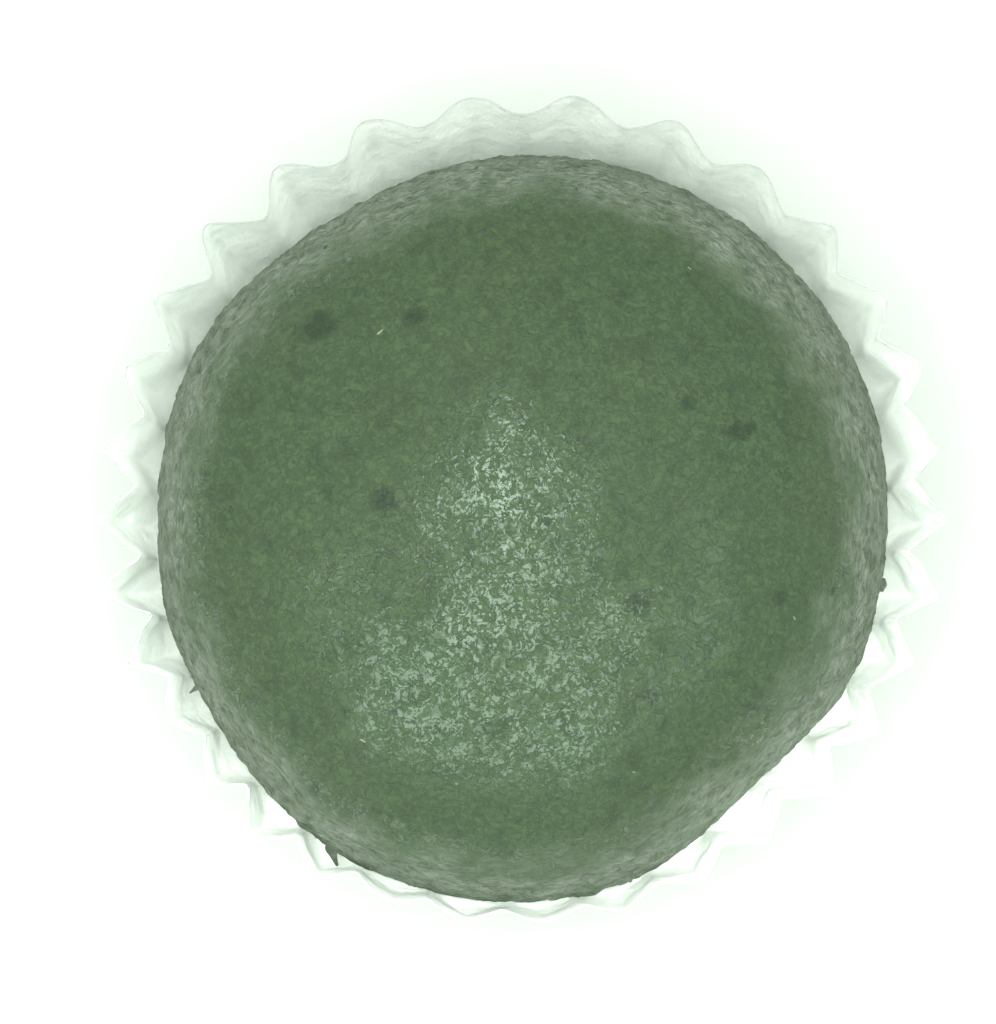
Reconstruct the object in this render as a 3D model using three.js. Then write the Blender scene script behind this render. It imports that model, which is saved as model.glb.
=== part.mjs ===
// A mochi rice cake: one uncut round of soft rice dough, sitting in the pleated paper case it is
// sold in. Millimetres, +Z up. The origin is the middle of the case's flat underside. The dough sits
// a little towards -Y, and the wall of the case leans back a little towards +Y.
import * as THREE from "three";

// Dough: a slumped ball, flat where it sits.
const DOUGH_RADIUS = 25.6;
const DOUGH_TOP = 29.2;
const DOUGH_WIDEST_AT = 13.6;
const DOUGH_SPOT_RADIUS = 11.5;
const DOUGH_BELLY_POWER = 1.75;
const DOUGH_DOME_POWER = 2.25;
const DOUGH_OFFSET = new THREE.Vector2(0, -0.65);

// Sides pressed nearly flat by the fingers that set the dough down. Each faces a direction in
// degrees, counted from +X towards +Y.
const PRESSED_SIDES = [
  { facing: -48, size: 2.0, spread: 19 },
  { facing: -7, size: 0.8, spread: 25 },
  { facing: 123, size: 0.85, spread: 21 },
  { facing: 178, size: 0.65, spread: 16 },
  { facing: 211, size: 0.9, spread: 18 },
];
const SHALLOW_WAVES = [
  { count: 2, height: 0.15, from: 35 },
  { count: 3, height: 0.12, from: 100 },
  { count: 5, height: 0.08, from: 10 },
];

// Case: a flat round floor and a flared wall folded into pleats.
const PAPER = 0.3;
const FLOOR_RADIUS = 20.8;
const RIM_RADIUS = 27.2;
const RIM_HEIGHT = 17.8;
const RIM_WAVER = 0.35;
const WALL_LEAN = 0.6;
const FLARE_POWER = 0.92;
const PLEAT_COUNT = 32;
const PLEAT_SHARPNESS = 0.16;

// Half the depth of a pleat at the rim, and what it loses at the back, where the pleats are pulled
// open, and at the front, where the dough presses on them.
const PLEAT_DEPTH = 1.15;
const SHALLOWER_PLEATS = [
  { facing: 85, size: 0.35, spread: 50 },
  { facing: 270, size: 0.65, spread: 42 },
];

// The pleats aren't evenly spaced: they stand wide at the back and crowd together at the sides.
const FIRST_PLEAT = 83.7;
const ONE_SIDED_CROWDING = { degrees: 6.95, from: 79.7 };
const TWO_SIDED_CROWDING = { degrees: -3.2, from: 14.8 };

// Free space kept between the dough and the paper, so that neither solid cuts the other, and how
// gently the paper bends where the dough pushes it out.
const CLEARANCE = 0.4;
const FLOOR_GAP = 0.3;
const PAPER_GIVE = 0.9;

// How finely the surfaces are faceted.
const DOUGH_SEGMENTS = 68;
const DOUGH_BELLY_STEPS = 10;
const DOUGH_DOME_STEPS = 14;
const PLEAT_SEGMENTS = 8;
const WALL_STEPS = 5;

const DOUGH_BOTTOM = PAPER + FLOOR_GAP;

const radians = THREE.MathUtils.degToRad;

// Sine of an angle in degrees.
function wave(degrees) {
  return Math.sin(radians(degrees));
}

// Smallest turn between two directions, in degrees.
function turnBetween(a, b) {
  return Math.abs(THREE.MathUtils.euclideanModulo(a - b + 180, 360) - 180);
}

// The sum of some soft bumps at a direction. Each has its full size where it faces and falls away
// over its spread, in degrees.
function sumOfBumps(bumps, direction) {
  return bumps.reduce(
    (sum, { facing, size, spread }) =>
      sum + size * Math.exp(-((turnBetween(direction, facing) / spread) ** 2)),
    0,
  );
}

// The larger of two lengths, with the corner between them rounded off over about `soft`.
function softMax(a, b, soft) {
  return (a + b + Math.hypot(a - b, soft)) / 2;
}

// Radius of the plain, unpressed dough at a height.
function plainDoughRadius(height) {
  if (height >= DOUGH_WIDEST_AT) {
    const rise = (height - DOUGH_WIDEST_AT) / (DOUGH_TOP - DOUGH_WIDEST_AT);
    return DOUGH_RADIUS * Math.max(0, 1 - rise ** 2) ** (1 / DOUGH_DOME_POWER);
  }
  const drop = (DOUGH_WIDEST_AT - height) / (DOUGH_WIDEST_AT - DOUGH_BOTTOM);
  const bulge = Math.max(0, 1 - drop ** DOUGH_BELLY_POWER) ** (1 / DOUGH_BELLY_POWER);
  return DOUGH_SPOT_RADIUS + (DOUGH_RADIUS - DOUGH_SPOT_RADIUS) * bulge;
}

// Share of a radius that is left once the sides are pressed in. The whole column of dough above and
// below a pressed side moves with it, so the share is the same at every height.
function pressedShare(direction) {
  return 1 - sumOfBumps(PRESSED_SIDES, direction) / DOUGH_RADIUS;
}

// The dome isn't a true dome: shallow waves run round it, strongest half-way down the slope.
function shallowWaves(direction, radius) {
  const slope = Math.sin((Math.PI * radius) / DOUGH_RADIUS) ** 2;
  const height = SHALLOW_WAVES.reduce(
    (sum, { count, height, from }) => sum + height * wave(count * (direction - from)),
    0,
  );
  return slope * height;
}

// A closed surface turned about +Z. Each row of it is a function that gives [radius, height] for a
// direction, and the first and last rows are points on the axis.
function turnedSolid(rows, segments) {
  const profile = rows.map((row) => new THREE.Vector2(...row(0)));
  const geometry = new THREE.LatheGeometry(profile, segments).rotateX(Math.PI / 2);
  const position = geometry.getAttribute("position");
  for (let i = 0; i < position.count; i += 1) {
    const step = Math.floor(i / rows.length) % segments;
    const direction = (360 * step) / segments;
    const [radius, height] = rows[i % rows.length](direction);
    const x = radius * Math.cos(radians(direction));
    const y = radius * Math.sin(radians(direction));
    position.setXYZ(i, x, y, height);
  }
  geometry.computeVertexNormals();
  return geometry;
}

// Heights of the dough's rows: equal steps of angle keep the facets even where it turns over.
function doughHeights() {
  const belly = DOUGH_WIDEST_AT - DOUGH_BOTTOM;
  const dome = DOUGH_TOP - DOUGH_WIDEST_AT;
  const heights = [];
  for (let i = 0; i < DOUGH_BELLY_STEPS; i += 1) {
    heights.push(DOUGH_WIDEST_AT - belly * Math.cos((Math.PI / 2) * (i / DOUGH_BELLY_STEPS)));
  }
  for (let i = 0; i < DOUGH_DOME_STEPS; i += 1) {
    heights.push(DOUGH_WIDEST_AT + dome * Math.sin((Math.PI / 2) * (i / DOUGH_DOME_STEPS)));
  }
  return heights;
}

function doughRow(height) {
  const radius = plainDoughRadius(height);
  const isDome = height > DOUGH_WIDEST_AT;
  return (direction) => [
    radius * pressedShare(direction),
    height + (isDome ? shallowWaves(direction, radius) : 0),
  ];
}

function makeDough() {
  const rows = [() => [0, DOUGH_BOTTOM], ...doughHeights().map(doughRow), () => [0, DOUGH_TOP]];
  return turnedSolid(rows, DOUGH_SEGMENTS).translate(DOUGH_OFFSET.x, DOUGH_OFFSET.y, 0);
}

// Distance from the case's axis out to the dough, at a height. Above its widest level the dough
// turns inwards but the paper doesn't follow it, so the widest level counts from there up.
function doughReach(direction, height) {
  const level = THREE.MathUtils.clamp(height, DOUGH_BOTTOM, DOUGH_WIDEST_AT);
  const offset = DOUGH_OFFSET.length();
  const turn = radians(direction) - DOUGH_OFFSET.angle();
  const plain = plainDoughRadius(level);
  const swing = Math.asin((offset / plain) * Math.sin(turn));
  const radius = plain * pressedShare(direction + THREE.MathUtils.radToDeg(swing));
  return offset * Math.cos(turn) + Math.sqrt(radius ** 2 - (offset * Math.sin(turn)) ** 2);
}

// Where a direction falls in the run of pleats: whole numbers are the crests.
function pleatsFromFirst(direction) {
  const oneSided = ONE_SIDED_CROWDING.degrees * wave(direction - ONE_SIDED_CROWDING.from);
  const twoSided = TWO_SIDED_CROWDING.degrees * wave(2 * direction - TWO_SIDED_CROWDING.from);
  return ((direction - FIRST_PLEAT - oneSided - twoSided) * PLEAT_COUNT) / 360;
}

// A pleat's fold, from -1 in the valley to 1 on the crest. The third harmonic pulls a plain wave
// towards straight sides and firm creases.
function fold(direction) {
  const turn = 2 * Math.PI * pleatsFromFirst(direction);
  return (Math.cos(turn) + PLEAT_SHARPNESS * Math.cos(3 * turn)) / (1 + PLEAT_SHARPNESS);
}

// Half the depth of the pleats at a share of the wall's height: they start flat at the floor.
function pleatDepth(direction, share) {
  return share * (PLEAT_DEPTH - sumOfBumps(SHALLOWER_PLEATS, direction));
}

// The wall's inner surface at a share of its height, 0 at the floor and 1 at the rim. The wall
// gives way where the dough leans on it, so that even the valleys of its pleats stay clear.
function innerWall(direction, share) {
  const height = share * (RIM_HEIGHT + RIM_WAVER * wave(3 * direction) * share);
  const depth = pleatDepth(direction, share);
  const flare = THREE.MathUtils.lerp(FLOOR_RADIUS, RIM_RADIUS, share ** FLARE_POWER);
  const free = flare + WALL_LEAN * share * wave(direction);
  const pushedOut = doughReach(direction, height) + CLEARANCE + depth;
  return [softMax(free, pushedOut, PAPER_GIVE * share) + depth * fold(direction), height];
}

// The case, as one sheet with its own thickness: out along the underside, up the outer wall, over
// the rim, down the inner wall and back along the floor.
function makeCase() {
  const shares = Array.from({ length: WALL_STEPS + 1 }, (_, i) => i / WALL_STEPS);
  const outer = shares.map((share) => (direction) => {
    const [radius, height] = innerWall(direction, share);
    return [radius + PAPER, height];
  });
  const inner = shares.toReversed().map((share) => (direction) => {
    const [radius, height] = innerWall(direction, share);
    return [radius, Math.max(height, PAPER)];
  });
  const rows = [() => [0, 0], ...outer, ...inner, () => [0, PAPER]];
  return turnedSolid(rows, PLEAT_COUNT * PLEAT_SEGMENTS);
}

function part(name, geometry, material) {
  const mesh = new THREE.Mesh(geometry, new THREE.MeshStandardMaterial(material));
  mesh.name = name;
  return mesh;
}

const mochiRiceCake = new THREE.Group();
mochiRiceCake.add(
  part("mochi", makeDough(), { color: "#58704f", roughness: 0.5, metalness: 0 }),
  part("paper_case", makeCase(), { color: "#eef5ec", roughness: 0.8, metalness: 0 }),
);

export default mochiRiceCake;
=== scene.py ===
# %% [markdown]
# # A mochi rice cake in its pleated paper case
#
# One round of soft green rice dough sits in a white paper case. This lesson builds the parts that
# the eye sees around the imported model, which already fixes every size and place: the dough with
# its dusted, wrinkled edge, the flecks of herb in it, a few torn flakes of skin, and the thin
# paper with its 32 pleats. Lengths are in metres, as Blender keeps them, so `MM` is one
# millimetre.

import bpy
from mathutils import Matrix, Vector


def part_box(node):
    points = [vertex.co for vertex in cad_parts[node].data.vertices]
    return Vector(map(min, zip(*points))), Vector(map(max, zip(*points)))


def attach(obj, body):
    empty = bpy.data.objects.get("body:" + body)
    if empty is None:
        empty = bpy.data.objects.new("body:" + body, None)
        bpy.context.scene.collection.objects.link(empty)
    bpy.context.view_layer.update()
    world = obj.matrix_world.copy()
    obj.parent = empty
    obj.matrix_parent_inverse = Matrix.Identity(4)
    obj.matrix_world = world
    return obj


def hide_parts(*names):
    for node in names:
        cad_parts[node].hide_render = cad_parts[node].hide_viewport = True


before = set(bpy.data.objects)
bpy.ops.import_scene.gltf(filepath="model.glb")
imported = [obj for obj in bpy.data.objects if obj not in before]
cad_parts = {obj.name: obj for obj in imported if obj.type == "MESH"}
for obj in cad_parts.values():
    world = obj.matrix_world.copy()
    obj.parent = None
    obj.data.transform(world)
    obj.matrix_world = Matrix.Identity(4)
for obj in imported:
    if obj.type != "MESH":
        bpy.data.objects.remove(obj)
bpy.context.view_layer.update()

# %% Tools and units
import math

import bpy
import numpy as np
from mathutils import Matrix, Vector, noise
from mathutils.bvhtree import BVHTree

MM = 0.001
CRISP_ABOVE = math.radians(50)

# %% [markdown]
# ## Two habits of hand work
#
# An operator acts on everything that is selected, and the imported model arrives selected. So each
# step first makes its own piece the only selected one. A piece is finished when its modifiers are
# applied, which leaves a plain mesh that looks the same everywhere. Thin pieces are then shaded
# smooth except where they turn by more than `CRISP_ABOVE`, which keeps their cut edges crisp.

# %% Select one piece, and apply its modifiers
def work_on(piece):
    bpy.ops.object.select_all(action="DESELECT")
    piece.select_set(True)
    bpy.context.view_layer.objects.active = piece


def apply_modifiers(piece):
    work_on(piece)
    for name in [modifier.name for modifier in piece.modifiers]:
        bpy.ops.object.modifier_apply(modifier=name)


def say_size(piece):
    mesh = piece.data
    triangles = sum(len(face.vertices) - 2 for face in mesh.polygons)
    points = np.empty(len(mesh.vertices) * 3)
    mesh.vertices.foreach_get("co", points)
    spans = np.ptp(points.reshape(-1, 3), axis=0) / MM
    print(f"{piece.name}: {triangles} triangles, {spans.round(2)} mm")


def feeler(piece):
    """A tree that answers rays cast at the piece as it is now."""
    mesh = piece.data
    return BVHTree.FromPolygons(
        [vertex.co for vertex in mesh.vertices], [face.vertices for face in mesh.polygons]
    )


def points_of(piece):
    points = np.empty(len(piece.data.vertices) * 3)
    piece.data.vertices.foreach_get("co", points)
    return points.reshape(-1, 3)


def move_points(piece, points):
    piece.data.vertices.foreach_set("co", points.ravel())
    piece.data.update()


# %% [markdown]
# ## A smooth guide for the dough
#
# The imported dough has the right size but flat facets. A copy of it is merged into one surface and
# subdivided, which rounds the facets off. It isn't shown: the fine skin is pressed onto it next,
# so that the skin can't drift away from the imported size.

# %% Smooth guide
packed_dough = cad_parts["mochi"]
SAME_POINT = 0.01 * MM
GUIDE_LEVELS = 2


def smooth_guide(node):
    guide = bpy.data.objects.new("guide", node.data.copy())
    bpy.context.scene.collection.objects.link(guide)
    work_on(guide)
    bpy.ops.object.mode_set(mode="EDIT")
    bpy.ops.mesh.select_all(action="SELECT")
    bpy.ops.mesh.remove_doubles(threshold=SAME_POINT)
    bpy.ops.mesh.tris_convert_to_quads()
    bpy.ops.object.mode_set(mode="OBJECT")
    rounding = guide.modifiers.new("rounding", "SUBSURF")
    rounding.levels = GUIDE_LEVELS
    rounding.render_levels = GUIDE_LEVELS
    apply_modifiers(guide)
    return guide


dough_guide = smooth_guide(packed_dough)
say_size(dough_guide)

# %% [markdown]
# ## The dough
#
# The real thing is one lump of pounded rice, rolled between the palms. A globe of rings would
# pinch at its poles, and the top is just what shows most, so it starts as a cube: cut into
# squares, blown up to a ball, stretched to the dough's box, subdivided and pressed onto the
# guide. Its squares stay nearly equal all over.

# %% Dough: cube to ball to pressed-on skin
dough_low, dough_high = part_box("mochi")
dough_middle = (dough_low + dough_high) / 2
dough_size = dough_high - dough_low
CUTS_PER_SIDE = 7
FINE_LEVELS = 4
SKIN_PROUD = 0.30 * MM
EVENING_SHARE = 0.5
EVENING_ROUNDS = 3


def make_dough():
    bpy.ops.object.select_all(action="DESELECT")
    bpy.ops.mesh.primitive_cube_add(size=1, location=dough_middle)
    dough = bpy.context.object
    dough.name = "mochi_skin"
    bpy.ops.object.mode_set(mode="EDIT")
    bpy.ops.mesh.subdivide(number_cuts=CUTS_PER_SIDE)
    bpy.ops.transform.tosphere(value=1)
    bpy.ops.object.mode_set(mode="OBJECT")
    dough.dimensions = dough_size
    bpy.ops.object.transform_apply(location=True, rotation=True, scale=True)
    fine = dough.modifiers.new("fine", "SUBSURF")
    fine.levels = FINE_LEVELS
    fine.render_levels = FINE_LEVELS
    press = dough.modifiers.new("press", "SHRINKWRAP")
    press.target = dough_guide
    press.wrap_mode = "OUTSIDE_SURFACE"
    press.offset = SKIN_PROUD
    even_out = dough.modifiers.new("even_out", "SMOOTH")
    even_out.factor = EVENING_SHARE
    even_out.iterations = EVENING_ROUNDS
    apply_modifiers(dough)
    bpy.ops.object.shade_smooth()
    return dough


dough = make_dough()
say_size(dough)

# %% [markdown]
# ## Where the starch clings
#
# The cake was rolled in starch. The top was wiped or pressed clean and shows the smooth, damp
# green skin, while the steep side is still dusted and has dried to a leathery, wrinkled hide. The
# border between the two wanders. It is kept on the mesh as a value from 0 to 1, read both by the
# modifiers that wrinkle the skin and, as an attribute, by the material that colours it.

# %% Starch border
STARCH_LINE = 21.0 * MM
STARCH_LINE_BACK = 1.1 * MM
STARCH_LINE_RIGHT = 0.4 * MM
STARCH_BLUR = 2.1 * MM
BORDER_PATCH = 3.6 * MM
BORDER_RAGGED = 1.6 * MM
dough_centre = Vector((dough_middle.x, dough_middle.y, 0))


def smooth_step(value, start, end):
    share = np.clip((value - start) / (end - start), 0, 1)
    return share * share * (3 - 2 * share)


def noise_at(points, size, offset, octaves=3):
    shift = Vector((offset, offset, offset))
    return np.array([
        noise.fractal(Vector(point) / size + shift, 1.0, 2.0, octaves) for point in points
    ])


def starch_on(points):
    around = points - np.array(dough_centre)
    reach = np.hypot(around[:, 0], around[:, 1]) + MM
    line = STARCH_LINE + STARCH_LINE_BACK * around[:, 1] / reach
    line = line + STARCH_LINE_RIGHT * around[:, 0] / reach
    line = line + BORDER_RAGGED * noise_at(points, BORDER_PATCH, offset=3.0)
    return 1 - smooth_step(points[:, 2], line - STARCH_BLUR, line + STARCH_BLUR)


def keep_on_mesh(piece, name, values):
    attribute = piece.data.attributes.new(name, "FLOAT", "POINT")
    attribute.data.foreach_set("value", values.astype(np.float32))


def weight_group(piece, name, values):
    group = piece.vertex_groups.new(name=name)
    for index, value in enumerate(values):
        if value > 0.002:
            group.add([index], float(value), "REPLACE")


starch = starch_on(points_of(dough))
keep_on_mesh(dough, "starch", starch)
weight_group(dough, "starched", starch)
weight_group(dough, "wiped", 1 - starch)
print("share of the skin under starch:", round(float(starch.mean()), 3))

# %% [markdown]
# ## Lumps and wrinkles
#
# Two kinds of unevenness are real shape, not just shading, because the outline shows them: slow
# lumps and shallow dimples left by the fingers, and wrinkles a millimetre or two wide on the
# starched side. Displace modifiers make them, held back by the weights above. Plain clouds are
# round, so the wrinkles use a twisted noise, at two sizes, so that no one size repeats.

# %% Shape the skin
LUMPS = {"size": 9.0 * MM, "height": 0.22 * MM, "where": ""}
DIMPLES = {"size": 3.2 * MM, "height": 0.04 * MM, "where": "wiped"}
FOLDS = {"size": 2.0 * MM, "height": 0.19 * MM, "where": "starched"}
CREASES = {"size": 0.8 * MM, "height": 0.15 * MM, "where": "starched"}
CLOUD_LAYERS = 2
WRINKLE_TWIST = 1.2


def displace(piece, name, kind, size, height, where):
    texture = bpy.data.textures.new(name, kind)
    texture.noise_scale = size
    if kind == "CLOUDS":
        texture.noise_depth = CLOUD_LAYERS
    if kind == "DISTORTED_NOISE":
        texture.distortion = WRINKLE_TWIST
        texture.noise_basis = "IMPROVED_PERLIN"
        texture.noise_distortion = "ORIGINAL_PERLIN"
    modifier = piece.modifiers.new(name, "DISPLACE")
    modifier.texture = texture
    modifier.texture_coords = "LOCAL"
    modifier.direction = "NORMAL"
    modifier.mid_level = 0.5
    modifier.strength = height
    modifier.vertex_group = where


displace(dough, "lumps", "CLOUDS", **LUMPS)
displace(dough, "dimples", "CLOUDS", **DIMPLES)
displace(dough, "folds", "DISTORTED_NOISE", **FOLDS)
displace(dough, "creases", "DISTORTED_NOISE", **CREASES)
apply_modifiers(dough)
dough.vertex_groups.clear()
say_size(dough)

# %% [markdown]
# ## Herb under the skin
#
# The green comes from leaves boiled and pounded into the rice. Where a bit of leaf lies just
# under the translucent skin it shows as a soft dark blotch, and its place is a matter of chance.
# Each blotch here is named by its direction round the cake, how far out it lies and how wide it
# is, and is kept as a second attribute, because the mesh is fine enough to hold such soft marks.

# %% Blotches
BLOTCHES = [
    {"facing": 138, "out": 18.2, "wide": 2.4, "dark": 0.85},
    {"facing": 119.5, "out": 14.5, "wide": 1.7, "dark": 0.9},
    {"facing": 20, "out": 15.2, "wide": 2.0, "dark": 0.85},
    {"facing": 178, "out": 9.1, "wide": 1.9, "dark": 1.0},
    {"facing": -41, "out": 9.7, "wide": 1.7, "dark": 0.8},
    {"facing": -56, "out": 14.9, "wide": 1.3, "dark": 0.7},
    {"facing": 32, "out": 12.7, "wide": 1.4, "dark": 0.7},
    {"facing": 173, "out": 21.2, "wide": 0.6, "dark": 1.0},
    {"facing": 65, "out": 15.8, "wide": 1.0, "dark": 0.6},
    {"facing": 176, "out": 12.8, "wide": 0.9, "dark": 0.6},
    {"facing": 69, "out": 9.0, "wide": 0.9, "dark": 0.5},
    {"facing": 109, "out": 8.9, "wide": 0.8, "dark": 0.5},
    {"facing": -19, "out": 17.7, "wide": 0.9, "dark": 0.6},
]
BLOTCH_RAGGED = 0.35
BLOTCH_RAG_SIZE = 1.1 * MM
BLOTCH_FLATTENED = 1.15
BLOTCH_FADE = (0.55, 1.3)


def blotches_on(points):
    dark = np.zeros(len(points))
    ragged = 1 + BLOTCH_RAGGED * noise_at(points, BLOTCH_RAG_SIZE, offset=9.0)
    for blotch in BLOTCHES:
        turn = math.radians(blotch["facing"])
        x = dough_centre.x + blotch["out"] * MM * math.cos(turn)
        y = dough_centre.y + blotch["out"] * MM * math.sin(turn)
        away = np.hypot(points[:, 0] - x, (points[:, 1] - y) * BLOTCH_FLATTENED)
        edge = blotch["wide"] * MM / 2 * ragged
        mark = 1 - smooth_step(away, edge * BLOTCH_FADE[0], edge * BLOTCH_FADE[1])
        mark = mark * blotch["dark"]
        dark = np.maximum(dark, np.where(points[:, 2] > dough_middle.z, mark, 0))
    return dark


keep_on_mesh(dough, "blotches", blotches_on(points_of(dough)))
print("blotches:", len(BLOTCHES))

# %% [markdown]
# ## Flecks on the skin
#
# Some bits of leaf lie bare on the surface: dark crumbs a few tenths of a millimetre wide, and a
# few pale straws of stalk. One of each is modelled, from a disc whose middle is raised and whose
# rim is shaken out of true. Copies, each with its own mesh, are then laid on the skin by its
# normal, turned and sized by chance, and joined into one piece of each kind.

# %% Fleck shapes
DISC_SHAKE = 0.13
DISC_SIDE = 0.10
DISC_INSET = 0.16
DISC_CROWN = 0.07


def raised_disc(name, corners, stretch, seed):
    bpy.ops.object.select_all(action="DESELECT")
    bpy.ops.mesh.primitive_circle_add(vertices=corners, radius=0.5, fill_type="NGON")
    disc = bpy.context.object
    disc.name = name
    bpy.ops.object.mode_set(mode="EDIT")
    bpy.ops.transform.vertex_random(offset=DISC_SHAKE, seed=seed)
    bpy.ops.transform.resize(value=(stretch, 1 / stretch, 0))
    bpy.ops.mesh.extrude_region_move(TRANSFORM_OT_translate={"value": (0, 0, DISC_SIDE)})
    bpy.ops.mesh.inset(thickness=DISC_INSET)
    bpy.ops.transform.translate(value=(0, 0, DISC_CROWN))
    bpy.ops.object.mode_set(mode="OBJECT")
    return disc


def lay_on_skin(master, point, normal, turn, size):
    copy = bpy.data.objects.new(master.name, master.data.copy())
    bpy.context.scene.collection.objects.link(copy)
    stand = normal.to_track_quat("Z", "Y").to_matrix().to_4x4()
    place = Matrix.Translation(point) @ stand @ Matrix.Rotation(turn, 4, "Z")
    copy.data.transform(place @ Matrix.Scale(size, 4))
    return copy


def join_pieces(name, pieces):
    bpy.ops.object.select_all(action="DESELECT")
    for piece in pieces:
        piece.select_set(True)
    bpy.context.view_layer.objects.active = pieces[0]
    bpy.ops.object.join()
    joined = bpy.context.object
    joined.name = name
    return joined


# %% Scatter the flecks
FLECK_SINK = 0.06
CRUMBS = {"count": 48, "widest": 23 * MM, "smallest": 0.14 * MM, "largest": 0.55 * MM}
STRAWS = {"count": 8, "widest": 21 * MM, "smallest": 0.18 * MM, "largest": 0.34 * MM}
chance = np.random.default_rng(27)
dough_feeler = feeler(dough)


def skin_under(x, y):
    point, normal, _, _ = dough_feeler.ray_cast(Vector((x, y, 1)), Vector((0, 0, -1)))
    return point, normal


def scatter(name, masters, count, widest, smallest, largest):
    pieces = []
    for _ in range(count):
        turn = chance.uniform(0, 2 * math.pi)
        out = widest * math.sqrt(chance.uniform(0, 1))
        size = smallest + (largest - smallest) * chance.uniform(0, 1) ** 3
        x = dough_centre.x + out * math.cos(turn)
        y = dough_centre.y + out * math.sin(turn)
        point, normal = skin_under(x, y)
        master = masters[int(chance.integers(len(masters)))]
        spin = chance.uniform(0, 2 * math.pi)
        pieces.append(lay_on_skin(master, point - normal * FLECK_SINK * size, normal, spin, size))
    for master in masters:
        bpy.data.objects.remove(master)
    return join_pieces(name, pieces)


crumb_shapes = [raised_disc(f"crumb_{seed}", 7, 1.15, seed) for seed in range(3)]
dark_flecks = scatter("herb_flecks", crumb_shapes, **CRUMBS)
straw_shapes = [raised_disc(f"straw_{seed}", 8, 1.75, seed + 5) for seed in range(2)]
pale_flecks = scatter("stalk_flecks", straw_shapes, **STRAWS)
say_size(dark_flecks)
say_size(pale_flecks)

# %% [markdown]
# ## Torn flakes of skin
#
# When the cake was lifted, the dried skin at its edge tore in four places and left small curled
# flakes that break the outline. Each is a short strip: a square whose outer edge is extruded,
# narrowed and turned a little at every step, so that it tapers and curls. `swing` turns the whole
# strip sideways, off the straight way out. Solidify gives it the thickness of the dried skin.

# %% Flakes
FLAKES = [
    {"facing": 239.2, "height": 14.8, "long": 1.0, "wide": 0.9, "curl": 12, "drop": 4, "swing": 40},
    {"facing": 206.9, "height": 16.5, "long": 0.5, "wide": 0.45, "curl": 9, "drop": 2, "swing": 0},
    {"facing": 286.5, "height": 16.5, "long": 0.2, "wide": 0.9, "curl": 12, "drop": 4, "swing": 0},
    {"facing": 350.5, "height": 15.0, "long": 0.12, "wide": 1.1, "curl": 10, "drop": 8, "swing": 0},
]
FLAKE_STEPS = 5
FLAKE_THICKNESS = 0.14 * MM
FLAKE_ROOT = 0.5 * MM
FLAKE_TAPER = 0.74
FLAKE_SIDEWAYS = 0.25
FLAKE_LEAST = 0.3
FLAKE_LIFT = 0.6
TIP_WITHIN = 0.2


def pick_tip(mesh, near):
    farthest = max(vertex.co.x for vertex in mesh.vertices)
    for edge in mesh.edges:
        ends = [mesh.vertices[index].co.x for index in edge.vertices]
        edge.select = min(ends) > farthest - near
    for vertex in mesh.vertices:
        vertex.select = vertex.co.x > farthest - near
    for face in mesh.polygons:
        face.select = False


def make_flake(facing, height, long, wide, curl, drop, swing):
    bpy.ops.object.select_all(action="DESELECT")
    bpy.ops.mesh.primitive_plane_add(size=1)
    flake = bpy.context.object
    bpy.ops.object.mode_set(mode="EDIT")
    bpy.ops.transform.resize(value=(FLAKE_ROOT, wide * MM, 1))
    bpy.ops.object.mode_set(mode="OBJECT")
    step = long * MM / FLAKE_STEPS
    for count in range(FLAKE_STEPS):
        pick_tip(flake.data, near=TIP_WITHIN * step)
        bpy.ops.object.mode_set(mode="EDIT")
        turned = math.radians(-drop + curl * count)
        forward = step * math.cos(turned) + FLAKE_LEAST * step
        slide = (forward, FLAKE_SIDEWAYS * step, step * math.sin(turned) * FLAKE_LIFT)
        bpy.ops.mesh.extrude_edges_move(TRANSFORM_OT_translate={"value": slide})
        bpy.ops.transform.resize(value=(1, FLAKE_TAPER, 1))
        bpy.ops.object.mode_set(mode="OBJECT")
    skin = flake.modifiers.new("skin", "SOLIDIFY")
    skin.thickness = FLAKE_THICKNESS
    skin.offset = 0
    rounding = flake.modifiers.new("rounding", "SUBSURF")
    rounding.levels = 1
    rounding.render_levels = 1
    apply_modifiers(flake)
    turn = math.radians(facing)
    outward = Vector((math.cos(turn), math.sin(turn), 0))
    start = Vector((dough_centre.x, dough_centre.y, height * MM))
    edge_point, _, _, _ = dough_feeler.ray_cast(start, outward)
    heading = Matrix.Rotation(turn + math.radians(swing), 4, "Z")
    flake.data.transform(Matrix.Translation(edge_point) @ heading)
    return flake


flakes = join_pieces("skin_flakes", [make_flake(**flake) for flake in FLAKES])
work_on(flakes)
bpy.ops.object.shade_smooth_by_angle(angle=CRISP_ABOVE)
say_size(flakes)

# %% [markdown]
# ## The pleated case: how the paper is folded
#
# The case is one round sheet of greaseproof paper, pressed between fluted moulds. These values
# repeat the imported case's: a flat floor, a flared wall, and 32 pleats that stand wide at the
# back, crowd together at the sides and are pushed out in front by the dough. What the packed
# case leaves out is chance: no two pleats of real paper are equally deep or upright.

# %% Case sizes
FLOOR_RADIUS = 20.8 * MM
RIM_RADIUS = 27.2 * MM
RIM_HEIGHT = 17.8 * MM
RIM_WAVER = 0.35 * MM
WALL_LEAN = 0.6 * MM
FLARE_POWER = 0.92
PLEAT_COUNT = 32
PLEAT_DEPTH = 1.15 * MM
SHALLOWER_PLEATS = [
    {"facing": 85, "size": 0.35 * MM, "spread": 50},
    {"facing": 270, "size": 0.65 * MM, "spread": 42},
]
FIRST_PLEAT = 83.7
ONE_SIDED_CROWDING = {"degrees": 6.95, "from": 79.7}
TWO_SIDED_CROWDING = {"degrees": -3.2, "from": 14.8}
CLEARANCE = 0.4 * MM
PAPER_GIVE = 0.9 * MM


def wave(degrees):
    return np.sin(np.radians(degrees))


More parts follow.
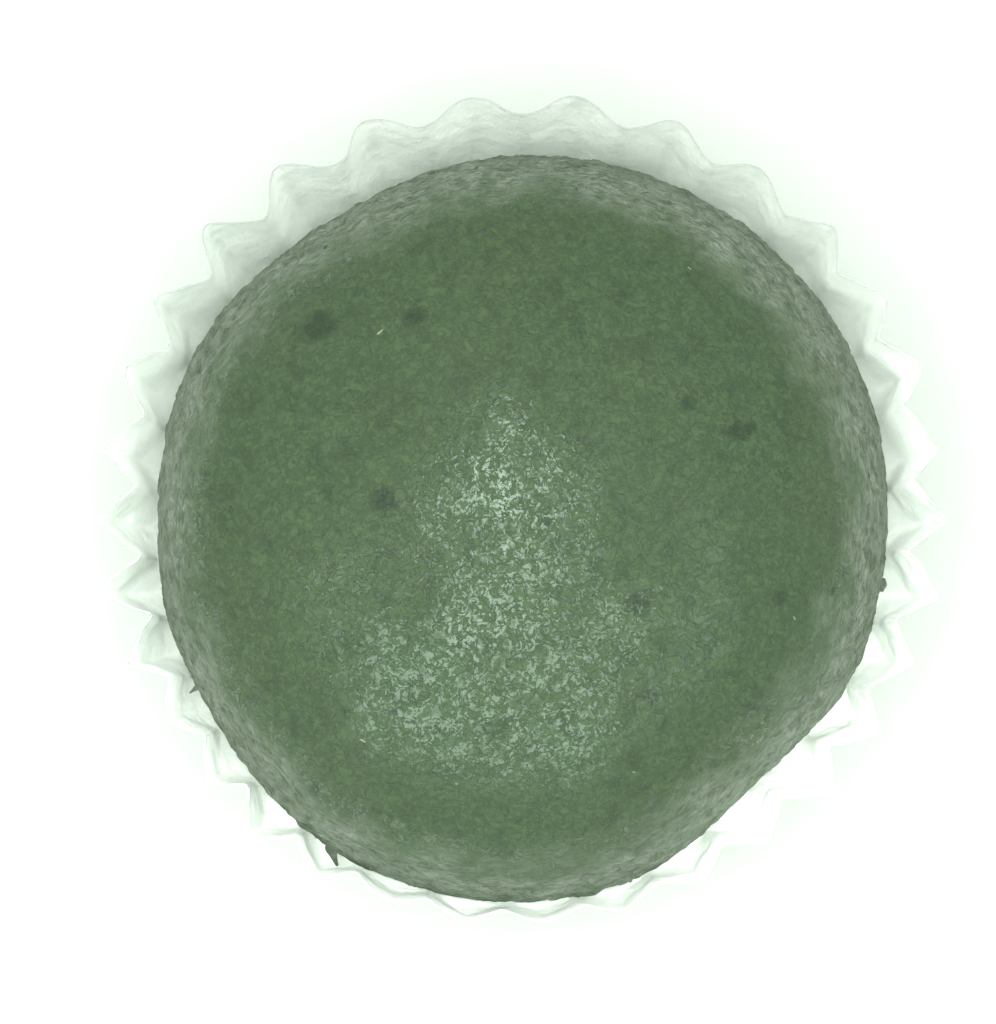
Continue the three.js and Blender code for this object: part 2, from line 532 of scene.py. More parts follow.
def bumps_at(bumps, direction):
    total = 0
    for bump in bumps:
        away = np.abs((direction - bump["facing"] + 180) % 360 - 180)
        total = total + bump["size"] * np.exp(-((away / bump["spread"]) ** 2))
    return total


def pleats_from_first(direction):
    one_sided = ONE_SIDED_CROWDING["degrees"] * wave(direction - ONE_SIDED_CROWDING["from"])
    two_sided = TWO_SIDED_CROWDING["degrees"] * wave(2 * direction - TWO_SIDED_CROWDING["from"])
    return (direction - FIRST_PLEAT - one_sided - two_sided) * PLEAT_COUNT / 360


# %% [markdown]
# A crest or a valley is only crisp where the mesh has a point exactly on it. So the points round
# the case are spaced by pleat, 24 to each, rather than by angle: the directions that the pleats
# fall at are worked out first, by running the spacing formula backwards.

# %% Directions of the points round the case
POINTS_PER_PLEAT = 24
POINTS_ROUND = PLEAT_COUNT * POINTS_PER_PLEAT

all_directions = np.linspace(FIRST_PLEAT - 40, FIRST_PLEAT + 400, 4401)
pleat_phase = np.arange(POINTS_ROUND) / POINTS_PER_PLEAT
point_directions = np.interp(pleat_phase, pleats_from_first(all_directions), all_directions)
back_pleat = np.ptp(point_directions[: POINTS_PER_PLEAT + 1])
print("pleat at the back, degrees:", back_pleat.round(2))

# %% [markdown]
# ## The case: disc, rings and wall
#
# The sheet starts as a disc with those points round it. The floor gets rings by insetting, so
# that it has no long thin triangles, and the wall is extruded from the floor's edge row by row,
# each row lifted and spread a little further, as paper is drawn up into a mould.

# %% Case blank
PAPER_THICKNESS = 0.12 * MM
WALL_ROWS = 26
FLOOR_RINGS = 3
RINGS_COVER = 0.9


def pick_rim(piece):
    mesh = piece.data
    widest = max(math.hypot(*vertex.co.xy) for vertex in mesh.vertices)
    on_rim = [math.hypot(*vertex.co.xy) > widest - SAME_POINT for vertex in mesh.vertices]
    mesh.polygons.foreach_set("select", [False] * len(mesh.polygons))
    mesh.vertices.foreach_set("select", on_rim)
    for edge in mesh.edges:
        edge.select = on_rim[edge.vertices[0]] and on_rim[edge.vertices[1]]


def make_case_blank():
    bpy.ops.object.select_all(action="DESELECT")
    bpy.ops.mesh.primitive_circle_add(
        vertices=POINTS_ROUND, radius=FLOOR_RADIUS, fill_type="NGON",
        location=(0, 0, PAPER_THICKNESS / 2),
    )
    case = bpy.context.object
    case.name = "pleated_paper"
    bpy.ops.object.transform_apply(location=True)
    bpy.ops.object.mode_set(mode="EDIT")
    for _ in range(FLOOR_RINGS):
        bpy.ops.mesh.inset(thickness=FLOOR_RADIUS / (FLOOR_RINGS + 1) * RINGS_COVER)
    bpy.ops.object.mode_set(mode="OBJECT")
    pick_rim(case)
    bpy.ops.object.mode_set(mode="EDIT")
    bpy.ops.mesh.select_mode(type="EDGE")
    row_height = (RIM_HEIGHT - PAPER_THICKNESS) / WALL_ROWS
    radius = FLOOR_RADIUS
    for row in range(WALL_ROWS):
        wider = FLOOR_RADIUS + (RIM_RADIUS - FLOOR_RADIUS) * (row + 1) / WALL_ROWS
        bpy.ops.mesh.extrude_edges_move(TRANSFORM_OT_translate={"value": (0, 0, row_height)})
        bpy.ops.transform.resize(value=(wider / radius, wider / radius, 1))
        radius = wider
    bpy.ops.object.mode_set(mode="OBJECT")
    return case


case = make_case_blank()
say_size(case)

# %% [markdown]
# ## Folding the wall
#
# Each point of the wall is slid along its own direction to where the folded paper is. The wall's
# mean line is the free flare or, where the dough is in the way, just clear of the dough, which
# is felt for by rays cast outwards from the axis. On that line rides the fold, a wave pulled
# towards straight sides: rounder at the back, where the paper is slack, and firm at the sides.

# %% Feel for the dough
REACH_STEPS = 40
REACH_FROM = 1.0 * MM
REACH_TO = dough_middle.z * 1.2
reach_heights = np.linspace(REACH_FROM, REACH_TO, REACH_STEPS)


def dough_reach():
    packed_feeler = feeler(packed_dough)
    reach = np.zeros((REACH_STEPS, POINTS_ROUND))
    for column, direction in enumerate(np.radians(point_directions)):
        outward = Vector((math.cos(direction), math.sin(direction), 0))
        for row, height in enumerate(reach_heights):
            point, _, _, _ = packed_feeler.ray_cast(Vector((0, 0, height)), outward)
            reach[row, column] = math.hypot(point.x, point.y)
    return np.maximum.accumulate(reach, axis=0)


reach_table = dough_reach()
nearest = reach_table[-1].min() / MM
farthest = reach_table[-1].max() / MM
print("dough's reach, mm:", nearest.round(2), farthest.round(2))

# %% Fold the wall
SIDE_SHARPNESS = 0.13
ROUND_BACK = [{"facing": 100, "size": 0.17, "spread": 60}]
CREASE_FROM = 0.90
RIM_EDGE_FROM = 0.97
UNEVEN_DEPTH = 0.20
UNEVEN_SLUMP = 0.22
UNEVEN_RISE = 0.28
pleat_chance = np.random.default_rng(5)
pleat_growth = pleat_chance.normal(1.0, UNEVEN_DEPTH, PLEAT_COUNT)
pleat_slump = pleat_chance.normal(0.0, UNEVEN_SLUMP, PLEAT_COUNT)
pleat_rise = pleat_chance.normal(0.0, UNEVEN_RISE, PLEAT_COUNT) * MM


def per_pleat(values, phase):
    return np.interp(phase % PLEAT_COUNT, np.arange(PLEAT_COUNT + 1), np.append(values, values[0]))


def soft_max(a, b, soft):
    return (a + b + np.hypot(a - b, soft)) / 2


def fold_wall():
    points = points_of(case)
    angle = np.arctan2(points[:, 1], points[:, 0])
    index = np.round(angle / (2 * math.pi) * POINTS_ROUND).astype(int) % POINTS_ROUND
    row_height = (RIM_HEIGHT - PAPER_THICKNESS) / WALL_ROWS
    row = np.round((points[:, 2] - PAPER_THICKNESS / 2) / row_height)
    share = row / WALL_ROWS
    phase = pleat_phase[index]
    direction = point_directions[index]
    turn = 2 * math.pi * phase
    turn = turn + per_pleat(pleat_slump, phase) * share * np.cos(turn)
    sharpness = SIDE_SHARPNESS - bumps_at(ROUND_BACK, direction)
    fold = (np.cos(turn) + sharpness * np.cos(3 * turn)) / (1 + sharpness)
    depth = share * (PLEAT_DEPTH - bumps_at(SHALLOWER_PLEATS, direction))
    depth = depth * per_pleat(pleat_growth, phase)
    height = share * (RIM_HEIGHT + RIM_WAVER * wave(3 * direction) * share)
    height = height + per_pleat(pleat_rise, phase) * share ** 3
    flare = FLOOR_RADIUS + (RIM_RADIUS - FLOOR_RADIUS) * share ** FLARE_POWER
    free = flare + WALL_LEAN * share * wave(direction)
    reach_row = np.interp(height, reach_heights, np.arange(REACH_STEPS))
    below = reach_row.astype(int)
    above = np.minimum(below + 1, REACH_STEPS - 1)
    between = reach_row - below
    reach = reach_table[below, index] * (1 - between) + reach_table[above, index] * between
    pushed_out = reach + CLEARANCE + depth
    radius = soft_max(free, pushed_out, PAPER_GIVE * share) + depth * fold
    on_floor = row < 0.5
    floor_share = np.hypot(points[:, 0], points[:, 1]) / FLOOR_RADIUS
    radius = np.where(on_floor, floor_share * FLOOR_RADIUS, radius)
    around = np.radians(direction)
    points[:, 0] = radius * np.cos(around)
    points[:, 1] = radius * np.sin(around)
    points[:, 2] = np.where(on_floor, points[:, 2], height + PAPER_THICKNESS / 2)
    move_points(case, points)
    keep_on_mesh(case, "crease", share * smooth_step(np.abs(fold), CREASE_FROM, 1.0))
    keep_on_mesh(case, "rim", smooth_step(share, RIM_EDGE_FROM, 1.0))


fold_wall()
say_size(case)

# %% [markdown]
# ## Thickness and small crumples
#
# Greaseproof paper is about a twentieth of a millimetre thick. It is made a little thicker here,
# so that its cut edge still catches the light. A faint cloud displacement first takes away the
# mould's perfection, and Solidify gives the sheet two sides. It isn't subdivided: the floor's
# middle is one face of hundreds of corners, which Subdivision Surface takes minutes over. The
# faces of the cut edge are marked, because the paper's material paints them dark grey, a painted
# shade, and lets no light through them.

# %% Finish the paper
CRUMPLE = {"size": 3.4 * MM, "height": 0.42 * MM, "where": "wall"}
WRINKLE = {"size": 1.3 * MM, "height": 0.10 * MM, "where": "wall"}
CRUMPLED_FROM = 1 * MM
CRUMPLED_FULLY = 12 * MM
ON_RIM = 0.99


def finish_case():
    heights = points_of(case)[:, 2]
    weight_group(case, "wall", smooth_step(heights, CRUMPLED_FROM, CRUMPLED_FULLY))
    displace(case, "crumple", "CLOUDS", **CRUMPLE)
    displace(case, "wrinkle", "CLOUDS", **WRINKLE)
    sheet = case.modifiers.new("sheet", "SOLIDIFY")
    sheet.thickness = PAPER_THICKNESS
    sheet.offset = 0
    apply_modifiers(case)
    case.vertex_groups.clear()
    bpy.ops.object.shade_smooth_by_angle(angle=CRISP_ABOVE)


def mark_cut_edge():
    sheet = case.data
    on_rim = np.zeros(len(sheet.vertices), np.float32)
    sheet.attributes["rim"].data.foreach_get("value", on_rim)
    values = [float(all(on_rim[i] > ON_RIM for i in face.vertices)) for face in sheet.polygons]
    cut_edge = sheet.attributes.new("cut_edge", "FLOAT", "FACE")
    cut_edge.data.foreach_set("value", values)
    print("faces on the cut edge:", int(sum(values)))


finish_case()
mark_cut_edge()
say_size(case)

# %% [markdown]
# ## Effects that several materials share
#
# Grain and patches turn up in the dough, in the flakes and in the paper. One node group makes
# them all: it takes a size in millimetres and puts out one mask, so that every material sets its
# own. Crooked lines come from the same group: they run where its clouds pass their middle value.

# %% Node helpers
def feed(tree, socket, value):
    """Link another node's output to a socket, or set the socket to a plain value."""
    if isinstance(value, bpy.types.NodeSocket):
        tree.links.new(value, socket)
    else:
        socket.default_value = value


def add_node(tree, kind, inputs=None, **settings):
    node = tree.nodes.new(kind)
    for name, value in settings.items():
        setattr(node, name, value)
    for name, value in (inputs or {}).items():
        feed(tree, node.inputs[name], value)
    return node


def math_node(tree, operation, first, second=0.0):
    node = add_node(tree, "ShaderNodeMath", {0: first, 1: second}, operation=operation)
    return node.outputs[0]


def times(tree, first, second):
    return math_node(tree, "MULTIPLY", first, second)


def ramp_node(tree, value, start, end, low=0.0, high=1.0):
    node = add_node(
        tree, "ShaderNodeMapRange",
        {"Value": value, "From Min": start, "From Max": end, "To Min": low, "To Max": high},
        interpolation_type="SMOOTHSTEP",
    )
    return node.outputs["Result"]


def mix_colours(tree, share, first, second):
    node = add_node(tree, "ShaderNodeMix", data_type="RGBA")
    feed(tree, node.inputs[0], share)
    feed(tree, node.inputs[6], first)
    feed(tree, node.inputs[7], second)
    return node.outputs[2]


def kept_value(tree, name):
    return add_node(tree, "ShaderNodeAttribute", attribute_name=name).outputs["Fac"]


def raise_surface(tree, shader, relief):
    bump = add_node(tree, "ShaderNodeBump", {"Height": relief, "Distance": 1.0, "Strength": 1.0})
    tree.links.new(bump.outputs["Normal"], shader.inputs["Normal"])


# %% Group: patches and grain
def new_group(name, inputs, outputs):
    group = bpy.data.node_groups.new(name, "ShaderNodeTree")
    for socket, (kind, value) in inputs.items():
        made = group.interface.new_socket(socket, in_out="INPUT", socket_type=kind)
        if value is not None:
            made.default_value = value
    for socket, kind in outputs.items():
        group.interface.new_socket(socket, in_out="OUTPUT", socket_type=kind)
    return group, group.nodes.new("NodeGroupInput"), group.nodes.new("NodeGroupOutput")


def make_patches_group():
    group, into, out = new_group(
        "patches",
        {
            "Place": ("NodeSocketVector", None),
            "Size mm": ("NodeSocketFloat", 1.0),
            "Warp": ("NodeSocketFloat", 0.0),
            "From": ("NodeSocketFloat", 0.4),
            "To": ("NodeSocketFloat", 0.6),
        },
        {"Mask": "NodeSocketFloat"},
    )
    per_metre = math_node(group, "DIVIDE", 1000.0, into.outputs["Size mm"])
    grain = add_node(
        group, "ShaderNodeTexNoise",
        {
            "Vector": into.outputs["Place"], "Scale": per_metre, "Detail": 3.0,
            "Roughness": 0.55, "Distortion": into.outputs["Warp"],
        },
    )
    mask = ramp_node(group, grain.outputs["Fac"], into.outputs["From"], into.outputs["To"])
    group.links.new(mask, out.inputs["Mask"])
    return group


patches_group = make_patches_group()


def patches(tree, place, size, start, end, warp=0.0):
    inputs = {"Place": place, "Size mm": size, "Warp": warp, "From": start, "To": end}
    node = add_node(tree, "ShaderNodeGroup", node_tree=patches_group)
    for name, value in inputs.items():
        feed(tree, node.inputs[name], value)
    return node.outputs["Mask"]


def crooked_lines(tree, place, size, warp, width):
    """Lines that run where a cloudy pattern passes its middle value."""
    clouds = patches(tree, place, size, 0.0, 1.0, warp=warp)
    off_line = math_node(tree, "ABSOLUTE", math_node(tree, "SUBTRACT", clouds, 0.5))
    return ramp_node(tree, off_line, 0.0, width, 1.0, 0.0)


def new_material(name, colour):
    material = bpy.data.materials.new(name)
    material.use_nodes = True
    material.diffuse_color = colour
    tree = material.node_tree
    tree.nodes.clear()
    shader = tree.nodes.new("ShaderNodeBsdfPrincipled")
    output = tree.nodes.new("ShaderNodeOutputMaterial")
    tree.links.new(shader.outputs["BSDF"], output.inputs["Surface"])
    place = tree.nodes.new("ShaderNodeTexCoord").outputs["Object"]
    return material, tree, shader, output, place


# %% [markdown]
# ## The skin of the dough
#
# Dull green, a little yellower in some patches, with grain, grooves and specks of leaf laid over
# it one after another. The grooves are painted darker, a painted shade in the recesses. The
# starched edge is greyer and lighter: its colour stands for the starch dust and also paints the
# grazing sheen of the steep side. Thin pale lines on it are a painted highlight on the wrinkles'
# ridges, which run round the cake, so their pattern is stretched level.
#
# The damp skin shines through a thin film of water, the shader's coat. It shows as short crooked
# glints, because the film lies thick only on small mounds and breaks off in the grooves between
# them, and a faint ripple bends it. Where the starch begins the film fades away. Some light
# passes into the dough, which softens its shading.

# %% Dough material
GREEN = (0.0755, 0.1252, 0.0608, 1)
GREEN_WARM = (0.0810, 0.1275, 0.0618, 1)
GREEN_DARK = (0.038, 0.062, 0.036, 1)
# The two pale colours of the dusted edge stand for the starch dust and also paint the grazing sheen
# of the steep side.
STARCH_AND_SHEEN = (0.222, 0.268, 0.209, 1)
THIN_STARCH_AND_SHEEN = (0.112, 0.149, 0.099, 1)
# The colour of the pale lines is a painted highlight on the wrinkles' ridges.
RIDGE_HIGHLIGHT = (0.295, 0.345, 0.28, 1)
WRINKLE_STRETCH = (0.65, 0.65, 1.7)

# Each layer of marks: pattern size in mm, where its mask starts and ends, warp, strength.
SOFT_DARK = (1.8, 0.48, 0.72, 0.5, 0.42)
GRAIN = (0.42, 0.35, 0.65, 1.0, 0.46)
SPECKS = (0.6, 0.64, 0.74, 0.0, 0.5)
GROOVE = {"size": 0.8, "warp": 0.8, "width": 0.08}
# How much darker the grooves are painted: a painted shade in the recesses.
GROOVE_PAINTED_SHADE = 0.2
RIDGE = {"size": 1.2, "warp": 0.8, "width": 0.10}
RIDGE_PALE = 0.46
DUST_AND_SHEEN_COVER = 0.85


def darker_marks(tree, place, colour, size, start, end, warp, strength):
    marks = patches(tree, place, size, start, end, warp=warp)
    return mix_colours(tree, times(tree, marks, strength), colour, GREEN_DARK)


def dough_colour(tree, place, along, grooves):
    warm = patches(tree, place, 9.0, 0.35, 0.7)
    colour = mix_colours(tree, warm, GREEN, GREEN_WARM)
    colour = darker_marks(tree, place, colour, *SOFT_DARK)
    colour = darker_marks(tree, place, colour, *GRAIN)
    # The grooves are painted darker: a painted shade in the recesses.
    colour = mix_colours(tree, times(tree, grooves, GROOVE_PAINTED_SHADE), colour, GREEN_DARK)
    colour = darker_marks(tree, place, colour, *SPECKS)
    bits = patches(tree, place, 0.8, 0.24, 0.52, warp=0.4)
    colour = mix_colours(tree, times(tree, kept_value(tree, "blotches"), bits), colour, GREEN_DARK)
    # Dusted edge: starch colour plus a painted grazing sheen.
    dusty = patches(tree, place, 1.0, 0.30, 0.68, warp=0.6)
    dust_and_sheen_colour = mix_colours(tree, dusty, THIN_STARCH_AND_SHEEN, STARCH_AND_SHEEN)
    dust_and_sheen = times(tree, kept_value(tree, "starch"), DUST_AND_SHEEN_COVER)
    colour = mix_colours(tree, dust_and_sheen, colour, dust_and_sheen_colour)
    # Pale lines on the dusted wrinkles: a painted highlight on their ridges.
    ridges = crooked_lines(tree, along, **RIDGE)
    pale = times(tree, ridges, times(tree, dust_and_sheen, RIDGE_PALE))
    return mix_colours(tree, pale, colour, RIDGE_HIGHLIGHT)


# %% Damp film on the dough
FILM_LEAST = 0.015
FILM_ROUGHNESS = 0.2
FILM_IOR = 1.7
FILM_ENDS_AT = 0.4
RIPPLE_SIZE = 0.6 * MM
RIPPLE_HEIGHT = 0.035 * MM


def add_film(tree, place, skin, mounds, grooves, damp):
    glow = patches(tree, place, 0.8, 0.32, 0.58)
    clustered = patches(tree, place, 2.0, 0.30, 0.56)
    film = times(tree, mounds, ramp_node(tree, clustered, 0, 1, 0.55, 1.0))
    film = times(tree, film, ramp_node(tree, grooves, 0, 1, 1.0, 0.15))
    film = times(tree, film, ramp_node(tree, glow, 0, 1, 0.5, 1.0))
    film = ramp_node(tree, film, 0, 1, FILM_LEAST, 1.0)
    tree.links.new(times(tree, film, damp), skin.inputs["Coat Weight"])
    skin.inputs["Coat Roughness"].default_value = FILM_ROUGHNESS
    skin.inputs["Coat IOR"].default_value = FILM_IOR
    ripple = add_node(
        tree, "ShaderNodeTexNoise",
        {"Vector": place, "Scale": 1 / RIPPLE_SIZE, "Detail": 2.0, "Distortion": 0.6},
    )
    bump = add_node(
        tree, "ShaderNodeBump",
        {"Height": ripple.outputs["Fac"], "Distance": RIPPLE_HEIGHT, "Strength": 1.0},
    )
    tree.links.new(bump.outputs["Normal"], skin.inputs["Coat Normal"])


# %% Dough material, put together
DAMP_RELIEF = 0.026 * MM
HIDE_RELIEF = 0.19 * MM


def dough_material():
    material, tree, skin, _, place = new_material("green_dough", GREEN)
    stretch = add_node(tree, "ShaderNodeMapping", {"Vector": place, "Scale": WRINKLE_STRETCH})
    along = stretch.outputs["Vector"]
    grooves = crooked_lines(tree, place, **GROOVE)
    tree.links.new(dough_colour(tree, place, along, grooves), skin.inputs["Base Color"])
    starched = kept_value(tree, "starch")
    mounds = patches(tree, place, 0.42, 0.43, 0.57, warp=1.2)
    damp = ramp_node(tree, starched, 0.0, FILM_ENDS_AT, 1.0, 0.0)
    add_film(tree, place, skin, mounds, grooves, damp)
    tree.links.new(ramp_node(tree, starched, 0, 1, 0.6, 0.8), skin.inputs["Roughness"])
    skin.inputs["Specular IOR Level"].default_value = 0.15
    skin.inputs["Subsurface Weight"].default_value = 0.25
    skin.inputs["Subsurface Radius"].default_value = (1.0, 1.2, 0.6)
    skin.inputs["Subsurface Scale"].default_value = 0.8 * MM
    risen = math_node(tree, "SUBTRACT", mounds, grooves)
    damp_relief = times(tree, risen, times(tree, damp, DAMP_RELIEF))
    hide = patches(tree, along, 0.6, 0.3, 0.7, warp=0.8)
    hide_relief = times(tree, hide, times(tree, starched, HIDE_RELIEF))
    raise_surface(tree, skin, math_node(tree, "ADD", damp_relief, hide_relief))
    print("nodes in the dough's material:", len(tree.nodes))
    return material


dough.data.materials.append(dough_material())

# %% [markdown]
# ## Flecks and flakes
#
# The bare bits of leaf are nearly black green and matte. The bits of stalk are straw-coloured.
# The flakes are dried skin, darker than the dusted edge they tore from. All three are one recipe
# of two colours in speckles, with a slightly rough surface.

# %% Fleck and flake materials
SPECKLE_RELIEF = 0.03 * MM
SPECKLED = [
    (dark_flecks, "bare_leaf", (0.035, 0.055, 0.034, 1), (0.052, 0.08, 0.05, 1), 0.3, 0.7),
    (pale_flecks, "bare_stalk", (0.24, 0.29, 0.15, 1), (0.18, 0.23, 0.12, 1), 0.3, 0.6),
    (flakes, "dried_skin", (0.08, 0.105, 0.072, 1), (0.13, 0.16, 0.118, 1), 0.5, 0.75),
]


def speckled_material(name, colour, other, size, roughness):
    material, tree, shader, _, place = new_material(name, colour)
    speckles = patches(tree, place, size, 0.35, 0.65)
    tree.links.new(mix_colours(tree, speckles, colour, other), shader.inputs["Base Color"])
    shader.inputs["Roughness"].default_value = roughness
    relief = patches(tree, place, size * 0.6, 0.3, 0.7)
    raise_surface(tree, shader, times(tree, relief, SPECKLE_RELIEF))
    return material


for piece, name, colour, other, size, roughness in SPECKLED:
    piece.data.materials.clear()
    piece.data.materials.append(speckled_material(name, colour, other, size, roughness))

# %% [markdown]
# ## The paper
#
# White greaseproof paper is matte and lets about a third of the light through, which is why the
# side nearest the light glows and the case's shadow on the table is so faint. A translucent
# shader is mixed with the plain one. Fibres and faint clouding vary its colour, and its creases
# are painted a little darker, a painted shade in the folds. The cut edge is painted dark grey, a
# painted shade that keeps it from shining white, and no light comes through it.

# %% Paper material
PAPER_WHITE = (0.90, 0.945, 0.90, 1)
PAPER_CLOUD = (0.80, 0.85, 0.80, 1)
# The crease colour is a painted shade in the folds.
PAPER_FOLD_SHADE = (0.54, 0.60, 0.54, 1)
# The cut edge's colour is a painted shade: dark grey, so that the lit edge doesn't shine white.
PAPER_CUT_SHADE = (0.27, 0.31, 0.27, 1)
PAPER_BACKLIT = (0.862, 0.910, 0.862, 1)
LET_THROUGH = 0.38
PAPER_ROUGHNESS = 0.75
FIBRES_DRAWN_OUT = (1, 1, 0.35)
CLOUDING_SHOWS = 0.6
FIBRES_SHOW = 0.25
FOLD_SHADE_SHOWS = 0.3
CRUMPLE_RELIEF = 0.05 * MM
FIBRE_RELIEF = 0.008 * MM


def paper_material():
    material, tree, front, output, place = new_material("greaseproof_paper", PAPER_WHITE)
    clouding = patches(tree, place, 1.6, 0.35, 0.65)
    stretched = add_node(tree, "ShaderNodeMapping", {"Vector": place, "Scale": FIBRES_DRAWN_OUT})
    fibres = patches(tree, stretched.outputs["Vector"], 0.35, 0.35, 0.65, warp=1.0)
    colour = mix_colours(tree, times(tree, clouding, CLOUDING_SHOWS), PAPER_WHITE, PAPER_CLOUD)
    colour = mix_colours(tree, times(tree, fibres, FIBRES_SHOW), colour, PAPER_CLOUD)
    # Darker along crests and valleys, more so higher up the wall: a painted shade in the folds.
    fold_shade = times(tree, kept_value(tree, "crease"), times(tree, clouding, FOLD_SHADE_SHOWS))
    colour = mix_colours(tree, fold_shade, colour, PAPER_FOLD_SHADE)
    cut = kept_value(tree, "cut_edge")
    # The cut edge is painted dark grey: a painted shade.
    tree.links.new(mix_colours(tree, cut, colour, PAPER_CUT_SHADE), front.inputs["Base Color"])
    front.inputs["Roughness"].default_value = PAPER_ROUGHNESS
    crumples = times(tree, patches(tree, place, 1.1, 0.3, 0.7), CRUMPLE_RELIEF)
    fibre_relief = times(tree, fibres, FIBRE_RELIEF)
    raise_surface(tree, front, math_node(tree, "ADD", crumples, fibre_relief))
    through = add_node(tree, "ShaderNodeBsdfTranslucent", {"Color": PAPER_BACKLIT})
    see_through = ramp_node(tree, cut, 0, 1, LET_THROUGH, 0.0)
    both = add_node(
        tree, "ShaderNodeMixShader",
        {0: see_through, 1: front.outputs["BSDF"], 2: through.outputs["BSDF"]},
    )
    tree.links.new(both.outputs["Shader"], output.inputs["Surface"])
    return material


case.data.materials.append(paper_material())

# %% [markdown]
# ## The studio
#
# The cake stands on a plain pale table that glows a little, like a light box, so that its shadow
# stays faint. White surroundings and one large soft box nearly overhead light it.
#
# The broken patch of glints on the dome is the mirror image of bright panes, so these are placed
# by it: narrow overhead, wide lower down, with a tall one to the right. They only add gloss,
# which lets the shine be set without washing out the rest. The paper is lit extra, through light
# linking: by a soft light from behind, and by narrow strips straight above the rim, which reach
# down into the pleats in front and at the sides but not their outer faces.

# %% Floor
FLOOR_SIZE = 4.0
FLOOR_BELOW = 0.02 * MM
FLOOR_GLOW = 0.10
FLOOR_GLOW_TINT = (0.93, 1.0, 0.93, 1)
TABLE_PALE = (0.590, 0.640, 0.590, 1)
TABLE_PALER = (0.580, 0.630, 0.580, 1)


def make_floor():
    bpy.ops.object.select_all(action="DESELECT")
    bpy.ops.mesh.primitive_plane_add(size=FLOOR_SIZE, location=(0, 0, -FLOOR_BELOW))
    floor = bpy.context.object
    floor.name = "table"
    bpy.ops.object.transform_apply(location=True)
    material, tree, shader, _, place = new_material("pale_table", TABLE_PALE)
    grain = patches(tree, place, 6.0, 0.3, 0.7)
    colour = mix_colours(tree, grain, TABLE_PALE, TABLE_PALER)
    tree.links.new(colour, shader.inputs["Base Color"])
    shader.inputs["Roughness"].default_value = 0.8
    shader.inputs["Emission Color"].default_value = FLOOR_GLOW_TINT
    shader.inputs["Emission Strength"].default_value = FLOOR_GLOW
    floor.data.materials.append(material)


make_floor()

# %% Lights
SOFT_BOX = {"front": 9, "side": -3, "wide": 60, "high": 50, "shine": 2.8}
STRIPS = [
    {"facing": 270, "wide": 58, "shine": 5.8},
    {"facing": 320, "wide": 18, "shine": 3.0},
    {"facing": -4, "wide": 30, "shine": 2.5},
    {"facing": 196, "wide": 38, "shine": 2.3},
]
STRIP_DEEP = 11 * MM
STRIP_OUT = 26.5 * MM
STRIP_ABOVE = 60 * MM
STRIP_SPREAD = 24
PAPER_LIGHT = {"front": -22, "side": 8, "wide": 90, "high": 36, "shine": 2.9}
PANES = [
    {"front": 36, "side": -9, "wide": 72, "high": 47, "shine": 3.0},
    {"front": 4, "side": -4, "wide": 30, "high": 22, "shine": 3.9},
    {"front": -11, "side": -3, "wide": 10, "high": 12, "shine": 7.5},
    {"front": 26, "side": 39, "wide": 10, "high": 42, "shine": 1.4},
]
PANE_TINT = (0.80, 1.0, 0.85)
PANE_DISTANCE = 0.9
AROUND = 1.0
AROUND_IN_GLOSS = 0.06
AROUND_TINT = (0.97, 1.0, 0.97, 1)
ENERGY_PER_SHINE = 4


def area_light(name, wide, high, shine):
    light = bpy.data.lights.new(name, "AREA")
    light.shape = "RECTANGLE"
    light.size = wide
    light.size_y = high
    light.energy = ENERGY_PER_SHINE * shine * wide * high
    lamp = bpy.data.objects.new(name, light)
    bpy.context.scene.collection.objects.link(lamp)
    return lamp


def light_plane(name, front, side, wide, high, shine):
    tilt = math.radians(front)
    lean = math.radians(side)
    level = math.cos(lean)
    toward = Vector((math.sin(lean), -math.sin(tilt) * level, math.cos(tilt) * level))
    width = 2 * PANE_DISTANCE * math.tan(math.radians(wide / 2))
    height = 2 * PANE_DISTANCE * math.tan(math.radians(high / 2))
    lamp = area_light(name, width, height, shine)
    aim = Vector((dough_centre.x, dough_centre.y, dough_high.z))
    lamp.location = aim + toward * PANE_DISTANCE
    upward = Vector((0, math.cos(tilt), math.sin(tilt)))
    axes = Matrix((upward.cross(toward).normalized(), upward, toward)).transposed()
    lamp.rotation_euler = axes.to_euler()
    return lamp


soft_box = light_plane("soft_box", **SOFT_BOX)
soft_box.visible_glossy = False
only_paper = bpy.data.collections.new("only_paper")
only_paper.objects.link(case)
paper_light = light_plane("paper_light", **PAPER_LIGHT)
paper_light.visible_glossy = False
paper_light.light_linking.receiver_collection = only_paper


def strip_light(name, facing, wide, shine):
    lamp = area_light(name, STRIP_DEEP, wide * MM, shine)
    lamp.data.spread = math.radians(STRIP_SPREAD)
    turn = math.radians(facing)
    out = Vector((math.cos(turn), math.sin(turn), 0)) * STRIP_OUT
    lamp.location = dough_centre + out + Vector((0, 0, dough_high.z + STRIP_ABOVE))
    lamp.rotation_euler = (0, 0, turn)
    lamp.visible_camera = False
    lamp.visible_glossy = False
    lamp.light_linking.receiver_collection = only_paper


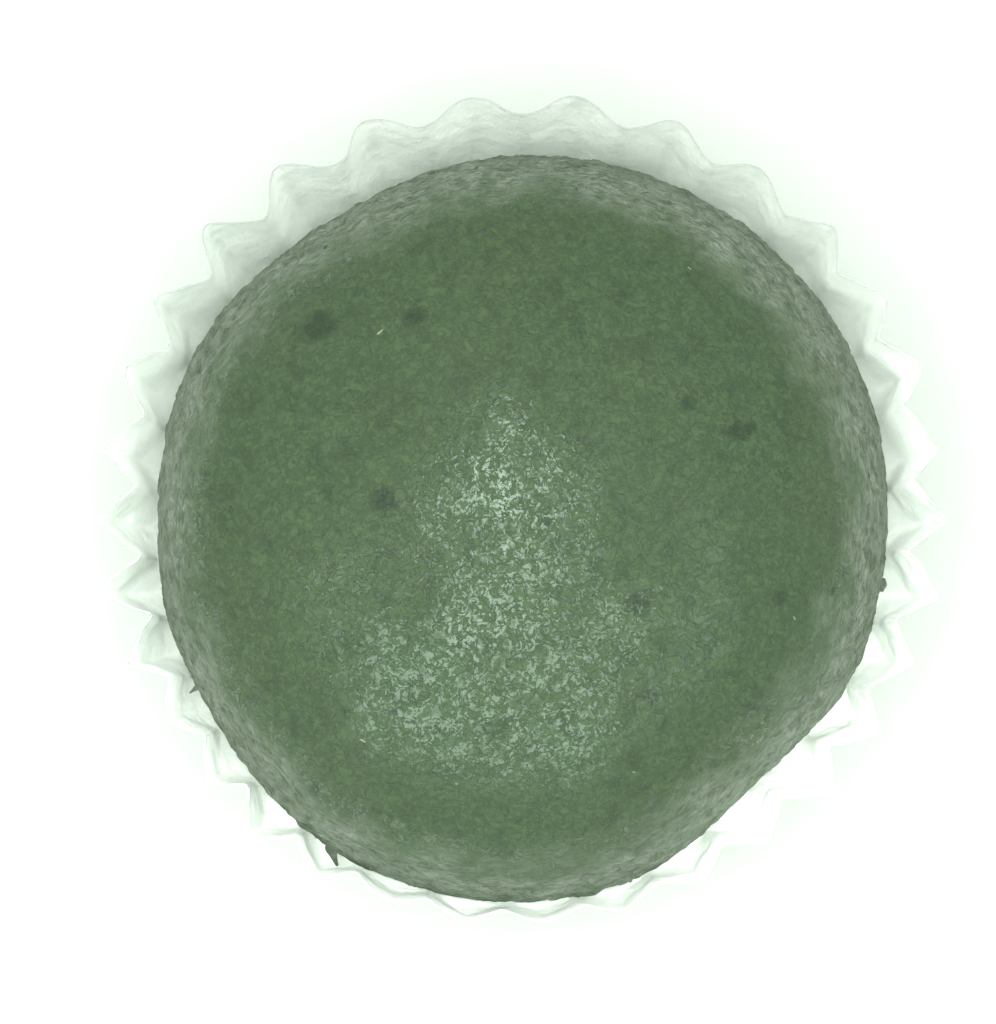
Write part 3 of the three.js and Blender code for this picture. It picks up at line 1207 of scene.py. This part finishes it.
for number, strip in enumerate(STRIPS):
    strip_light(f"strip_{number}", **strip)
for number, pane in enumerate(PANES):
    gloss_pane = light_plane(f"pane_{number}", **pane)
    gloss_pane.data.color = PANE_TINT
    gloss_pane.visible_diffuse = False
    gloss_pane.visible_transmission = False


def white_room():
    world = bpy.data.worlds.new("white_room")
    world.use_nodes = True
    tree = world.node_tree
    in_gloss = tree.nodes.new("ShaderNodeLightPath").outputs["Is Glossy Ray"]
    strength = ramp_node(tree, in_gloss, 0, 1, AROUND, AROUND_IN_GLOSS)
    background = tree.nodes["Background"]
    background.inputs["Color"].default_value = AROUND_TINT
    tree.links.new(strength, background.inputs["Strength"])
    bpy.context.scene.world = world


white_room()
bpy.context.scene.view_settings.view_transform = "Standard"

# %% [markdown]
# ## The camera
#
# The cake is seen from almost straight above, tipped five and a half degrees towards the front.
# A long lens at 28 cm keeps the round outline true. The cake sits a little to the right of and
# below the middle of the frame, so the point looked at is beside its centre.

# %% Camera
CAMERA_DISTANCE = 280 * MM
CAMERA_TIP = 5.5
VIEW_HEIGHT = 69.85 * MM
SENSOR = 36.0
LOOK_LEFT = 1.67 * MM
LOOK_UP = 0.89 * MM


def make_camera():
    camera = bpy.data.cameras.new("camera")
    camera.sensor_width = SENSOR
    camera.lens = SENSOR * CAMERA_DISTANCE / VIEW_HEIGHT
    camera.clip_start = 0.01
    stand = bpy.data.objects.new("camera", camera)
    bpy.context.scene.collection.objects.link(stand)
    tip = math.radians(CAMERA_TIP)
    backward = Vector((0, -math.sin(tip), math.cos(tip)))
    up = Vector((0, math.cos(tip), math.sin(tip)))
    target = Vector((dough_centre.x, dough_centre.y, dough_middle.z))
    target = target + Vector((-LOOK_LEFT, 0, 0)) + up * LOOK_UP
    stand.location = target + backward * CAMERA_DISTANCE
    stand.rotation_euler = (tip, 0, 0)
    bpy.context.scene.camera = stand


make_camera()

# %% [markdown]
# ## Hand the pieces over
#
# The guide has done its work. Each piece rides on the one body, and the imported dough and case
# are hidden.

# %% Hand over
bpy.data.objects.remove(dough_guide)
for piece in (dough, dark_flecks, pale_flecks, flakes, case):
    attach(piece, "root")
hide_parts("mochi")
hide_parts("paper_case")
